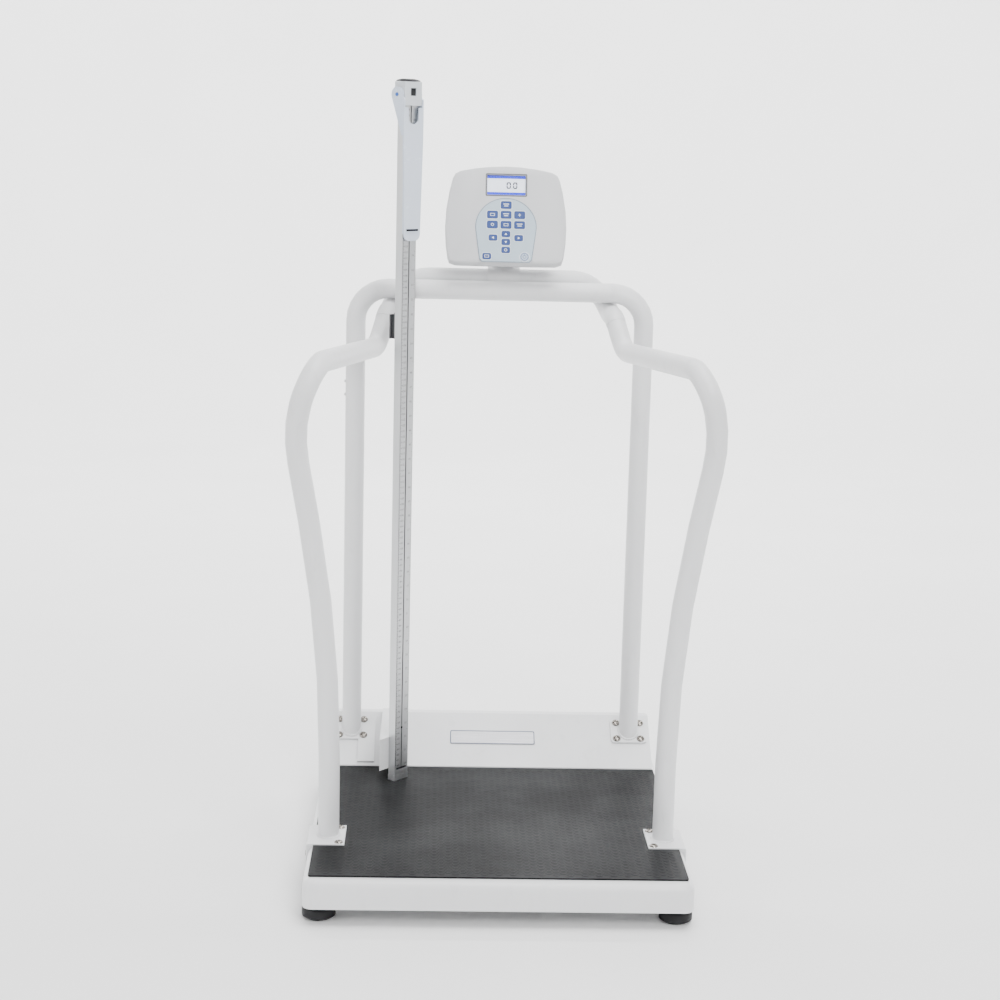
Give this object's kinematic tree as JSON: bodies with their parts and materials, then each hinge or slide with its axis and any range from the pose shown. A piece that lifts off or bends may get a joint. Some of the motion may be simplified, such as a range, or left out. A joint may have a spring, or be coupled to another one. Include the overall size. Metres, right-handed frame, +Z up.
{
  "type": "digital platform scale with handrails and height rod",
  "caption": "Digital platform weighing scale with wrap-around tubular handrails, tilting display head, levelling feet and a telescopic height rod with folding paddle",
  "frame": {"origin": "on the floor, under the middle of the base", "axes": "+Z up, +Y the way the user faces, towards the display, +X to the user's right"},
  "size_m": [0.6996, 0.675, 1.3173],
  "materials": {
    "white_paint": "semi-matt powder coat",
    "mat_rubber": "embossed, satin",
    "foot_rubber": "moulded, matt",
    "nameplate_metal": "brushed, blank",
    "zinc_plate": "zinc plated",
    "stud_steel": "zinc plated",
    "bolt_steel": "bright",
    "cell_aluminium": "machined",
    "shell_plastic": "fine grain",
    "screen_blue": "liquid-crystal panel",
    "window_glass": "clear",
    "overlay_film": "printed polyester film",
    "circuit_green": "solder mask",
    "key_blue": "satin",
    "rod_aluminium": "brushed, printed scale",
    "black_plastic": "moulded",
    "pale_plastic": "moulded",
    "pin_blue": "moulded",
    "dark_steel": "black"
  },
  "bodies": {
    "scale_frame": {"platform_deck": "white_paint", "tread_mat": "mat_rubber", "rear_cover": "white_paint", "nameplate": "nameplate_metal", "cell_channel_left": "zinc_plate", "cell_channel_right": "zinc_plate", "load_cell_front_left": "cell_aluminium", "load_cell_front_right": "cell_aluminium", "load_cell_rear_left": "cell_aluminium", "load_cell_rear_right": "cell_aluminium", "rear_hoop": "white_paint", "rear_flange_left": "white_paint", "rear_flange_right": "white_paint", "upper_crossbar": "white_paint", "handrail_left": "white_paint", "handrail_right": "white_paint", "front_saddle_left": "white_paint", "front_saddle_right": "white_paint", "display_bracket": "white_paint", "rod_outer": "rod_aluminium", "rod_end_cap": "rod_aluminium", "rod_base_bracket": "white_paint", "rod_upper_bracket": "dark_steel"},
    "display_head": {"display_front": "shell_plastic", "display_back": "shell_plastic", "display_hinge_bolt": "bolt_steel", "lcd_module": "screen_blue", "lcd_window": "window_glass", "keypad_overlay": "overlay_film", "main_board": "circuit_green", "battery_door": "shell_plastic"},
    "sliding_mast": {"rod_inner": "rod_aluminium", "rod_top_cap": "black_plastic"},
    "measuring_head": {"head_slider": "pale_plastic", "head_lens": "black_plastic", "pivot_pin_left": "pin_blue", "pivot_pin_right": "pin_blue"},
    "measuring_paddle": {"paddle": "pale_plastic"},
    "foot_front_left": {"foot_pad_front_left": "foot_rubber", "foot_stud_front_left": "stud_steel"},
    "foot_front_right": {"foot_pad_front_right": "foot_rubber", "foot_stud_front_right": "stud_steel"},
    "foot_rear_left": {"foot_pad_rear_left": "foot_rubber", "foot_stud_rear_left": "stud_steel"},
    "foot_rear_right": {"foot_pad_rear_right": "foot_rubber", "foot_stud_rear_right": "stud_steel"},
    "key_top_cap": {"key_top": "key_blue"},
    "key_upper_left_cap": {"key_upper_left": "key_blue"},
    "key_upper_centre_cap": {"key_upper_centre": "key_blue"},
    "key_upper_right_cap": {"key_upper_right": "key_blue"},
    "key_middle_left_cap": {"key_middle_left": "key_blue"},
    "key_middle_centre_cap": {"key_middle_centre": "key_blue"},
    "key_middle_right_cap": {"key_middle_right": "key_blue"},
    "key_up_cap": {"key_up": "key_blue"},
    "key_left_cap": {"key_left": "key_blue"},
    "key_right_cap": {"key_right": "key_blue"},
    "key_down_cap": {"key_down": "key_blue"},
    "key_lower_cap": {"key_lower": "key_blue"},
    "key_print_cap": {"key_print": "key_blue"},
    "key_power_cap": {"key_power": "key_blue"}
  },
  "joints": [
    {"name": "display_tilt", "type": "hinge", "parent": "scale_frame", "child": "display_head", "pos_m": [0.005, 0.31001, 1.03425], "axis": [1, 0, 0], "range_deg": [-25, 20]},
    {"name": "mast_extend", "type": "slide", "parent": "scale_frame", "child": "sliding_mast", "axis": [0, 0, 1], "range_m": [0, 0.8]},
    {"name": "head_slide", "type": "slide", "parent": "sliding_mast", "child": "measuring_head", "axis": [0, 0, -1], "range_m": [0, 0.6]},
    {"name": "paddle_fold", "type": "hinge", "parent": "measuring_head", "child": "measuring_paddle", "pos_m": [-0.17218, 0.14704, 1.291], "axis": [-0.6613, -0.7501, 0], "range_deg": [0, 90]},
    {"name": "foot_turn_front_left", "type": "hinge", "parent": "scale_frame", "child": "foot_front_left", "pos_m": [-0.2852, -0.2931, 0.02], "axis": [0, 0, 1], "continuous": true},
    {"name": "foot_turn_front_right", "type": "hinge", "parent": "scale_frame", "child": "foot_front_right", "pos_m": [0.2852, -0.2931, 0.02], "axis": [0, 0, 1], "continuous": true},
    {"name": "foot_turn_rear_left", "type": "hinge", "parent": "scale_frame", "child": "foot_rear_left", "pos_m": [-0.2852, 0.2931, 0.02], "axis": [0, 0, 1], "continuous": true},
    {"name": "foot_turn_rear_right", "type": "hinge", "parent": "scale_frame", "child": "foot_rear_right", "pos_m": [0.2852, 0.2931, 0.02], "axis": [0, 0, 1], "continuous": true},
    {"name": "key_top_press", "type": "slide", "parent": "display_head", "child": "key_top_cap", "axis": [0, 0.9397, -0.342], "range_m": [0, 0.0004], "stiffness_N_per_m": 3000},
    {"name": "key_upper_left_press", "type": "slide", "parent": "display_head", "child": "key_upper_left_cap", "axis": [0, 0.9397, -0.342], "range_m": [0, 0.0004], "stiffness_N_per_m": 3000},
    {"name": "key_upper_centre_press", "type": "slide", "parent": "display_head", "child": "key_upper_centre_cap", "axis": [0, 0.9397, -0.342], "range_m": [0, 0.0004], "stiffness_N_per_m": 3000},
    {"name": "key_upper_right_press", "type": "slide", "parent": "display_head", "child": "key_upper_right_cap", "axis": [0, 0.9397, -0.342], "range_m": [0, 0.0004], "stiffness_N_per_m": 3000},
    {"name": "key_middle_left_press", "type": "slide", "parent": "display_head", "child": "key_middle_left_cap", "axis": [0, 0.9397, -0.342], "range_m": [0, 0.0004], "stiffness_N_per_m": 3000},
    {"name": "key_middle_centre_press", "type": "slide", "parent": "display_head", "child": "key_middle_centre_cap", "axis": [0, 0.9397, -0.342], "range_m": [0, 0.0004], "stiffness_N_per_m": 3000},
    {"name": "key_middle_right_press", "type": "slide", "parent": "display_head", "child": "key_middle_right_cap", "axis": [0, 0.9397, -0.342], "range_m": [0, 0.0004], "stiffness_N_per_m": 3000},
    {"name": "key_up_press", "type": "slide", "parent": "display_head", "child": "key_up_cap", "axis": [0, 0.9397, -0.342], "range_m": [0, 0.0004], "stiffness_N_per_m": 3000},
    {"name": "key_left_press", "type": "slide", "parent": "display_head", "child": "key_left_cap", "axis": [0, 0.9397, -0.342], "range_m": [0, 0.0004], "stiffness_N_per_m": 3000},
    {"name": "key_right_press", "type": "slide", "parent": "display_head", "child": "key_right_cap", "axis": [0, 0.9397, -0.342], "range_m": [0, 0.0004], "stiffness_N_per_m": 3000},
    {"name": "key_down_press", "type": "slide", "parent": "display_head", "child": "key_down_cap", "axis": [0, 0.9397, -0.342], "range_m": [0, 0.0004], "stiffness_N_per_m": 3000},
    {"name": "key_lower_press", "type": "slide", "parent": "display_head", "child": "key_lower_cap", "axis": [0, 0.9397, -0.342], "range_m": [0, 0.0004], "stiffness_N_per_m": 3000},
    {"name": "key_print_press", "type": "slide", "parent": "display_head", "child": "key_print_cap", "axis": [0, 0.9397, -0.342], "range_m": [0, 0.0004], "stiffness_N_per_m": 3000},
    {"name": "key_power_press", "type": "slide", "parent": "display_head", "child": "key_power_cap", "axis": [0, 0.9397, -0.342], "range_m": [0, 0.0004], "stiffness_N_per_m": 3000}
  ]
}
